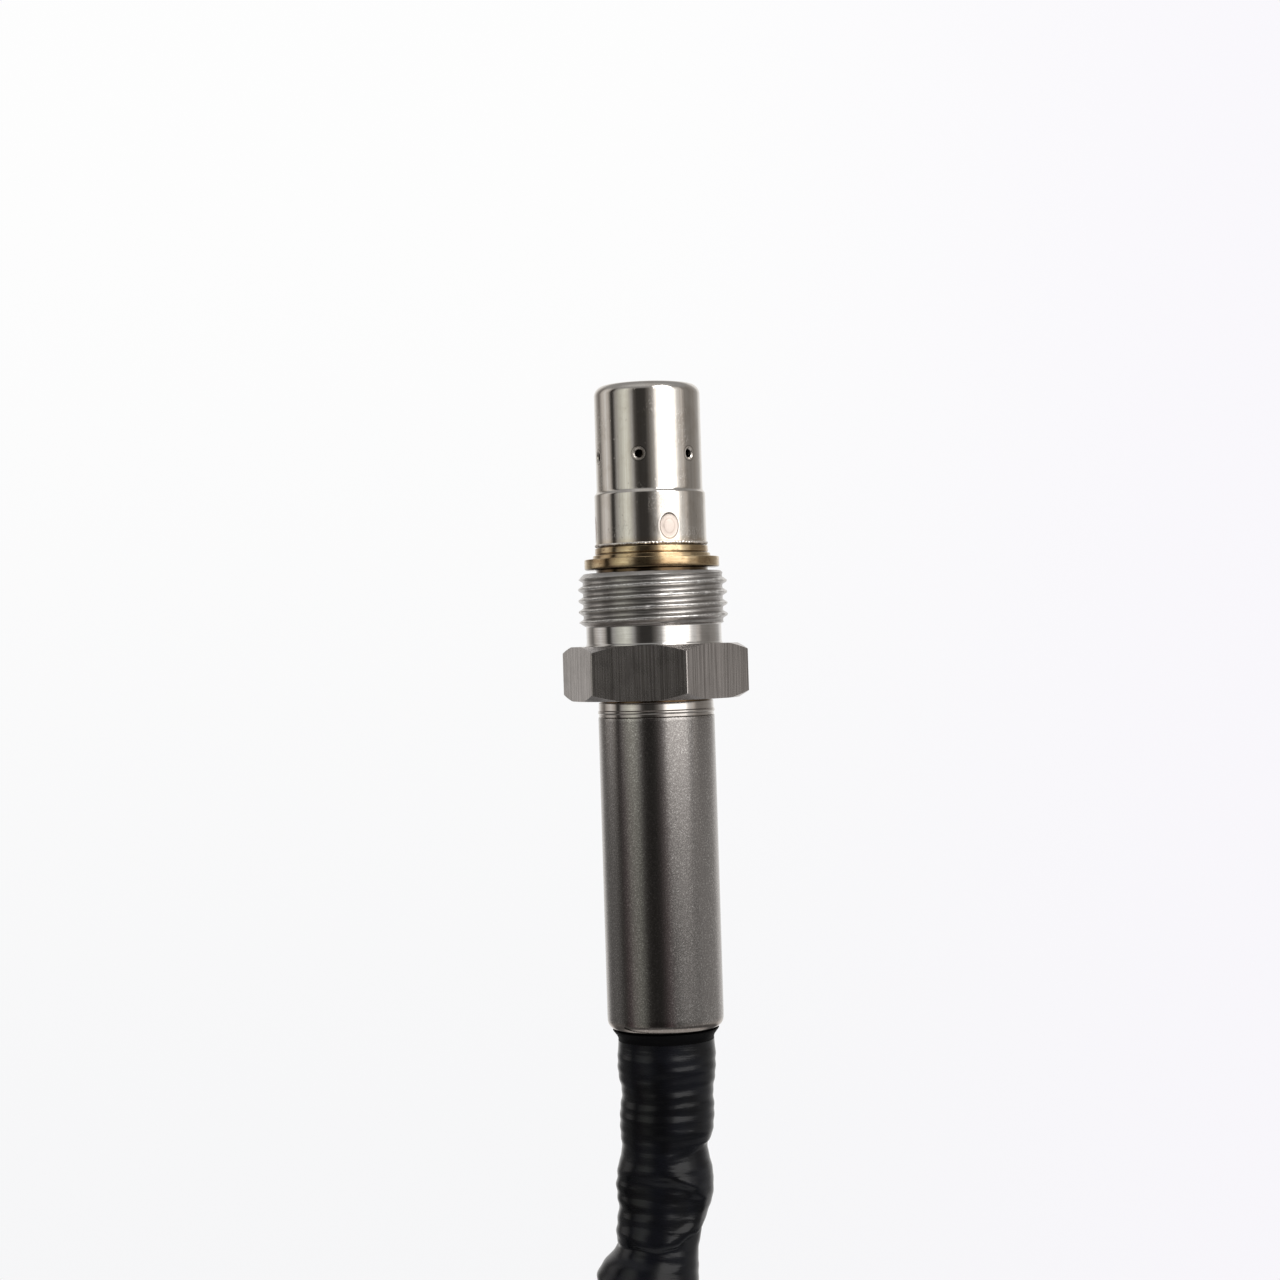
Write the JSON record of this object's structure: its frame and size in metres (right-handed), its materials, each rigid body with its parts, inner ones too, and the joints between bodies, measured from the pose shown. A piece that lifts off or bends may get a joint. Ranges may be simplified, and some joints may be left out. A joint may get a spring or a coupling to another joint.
{
  "type": "nitrogen oxide sensor",
  "caption": "Threaded exhaust gas probe with a free-turning hexagon screw, a protection cap with gas holes, a covered lead and a control unit.",
  "frame": {"origin": "on the sensor's axis in the front face of the housing's flange, the face that seats in the exhaust boss", "axes": "+Z along the sensor's axis towards its gas-sensing tip; +Y away from the usual viewer; +X to the viewer's right"},
  "size_m": [0.1883, 0.0402, 0.3832],
  "materials": {
    "cap_steel": "polished",
    "inner_tube_steel": "satin",
    "element_ceramic": "fired",
    "tinted_steel": "heat tinted",
    "holder_ceramic": "fired",
    "talc": "pressed powder",
    "spring_steel": "satin",
    "screw_steel": "machined",
    "collar_steel": "polished",
    "sleeve_steel": "satin",
    "grommet_rubber": "matte",
    "wire_sheath": "smooth",
    "boot_rubber": "matte",
    "lead_cover": "ribbed",
    "tie_nylon": "smooth",
    "case_plastic": "fine grained",
    "gasket_rubber": "matte",
    "cover_aluminium": "cast",
    "cover_screw_steel": "zinc plated",
    "board_laminate": "lacquered",
    "component_epoxy": "matte",
    "gland_rubber": "matte",
    "socket_plastic": "fine grained",
    "pin_brass": "plated",
    "bush_steel": "zinc plated"
  },
  "bodies": {
    "sensor": {"outer_protection_cap": "cap_steel", "inner_protection_tube": "inner_tube_steel", "sensing_element": "element_ceramic", "sensor_housing": "tinted_steel", "front_ceramic_holder": "holder_ceramic", "talc_seal": "talc", "rear_ceramic_bushing": "holder_ceramic", "pressure_ring": "spring_steel", "stop_collar": "collar_steel", "rear_sleeve": "sleeve_steel", "contact_carrier": "holder_ceramic", "contact_springs": "spring_steel", "carrier_clip": "spring_steel", "wire_grommet": "grommet_rubber", "lead_wires": "wire_sheath", "lead_boot": "boot_rubber", "cable_run": "lead_cover", "cable_coil": "lead_cover", "cable_tail": "lead_cover", "cable_tie": "tie_nylon", "unit_case": "case_plastic", "unit_gasket": "gasket_rubber", "unit_cover": "cover_aluminium", "cover_screws": "cover_screw_steel", "circuit_board": "board_laminate", "board_components": "component_epoxy", "unit_wires": "wire_sheath", "unit_gland": "gland_rubber", "connector_socket": "socket_plastic", "connector_pins": "pin_brass", "mounting_bushes": "bush_steel"},
    "screw": {"hollow_screw": "screw_steel"}
  },
  "joints": [
    {"name": "screw_spin", "type": "hinge", "parent": "sensor", "child": "screw", "pos_m": [0, 0, -0.01045], "axis": [0, 0, 1], "continuous": true}
  ]
}
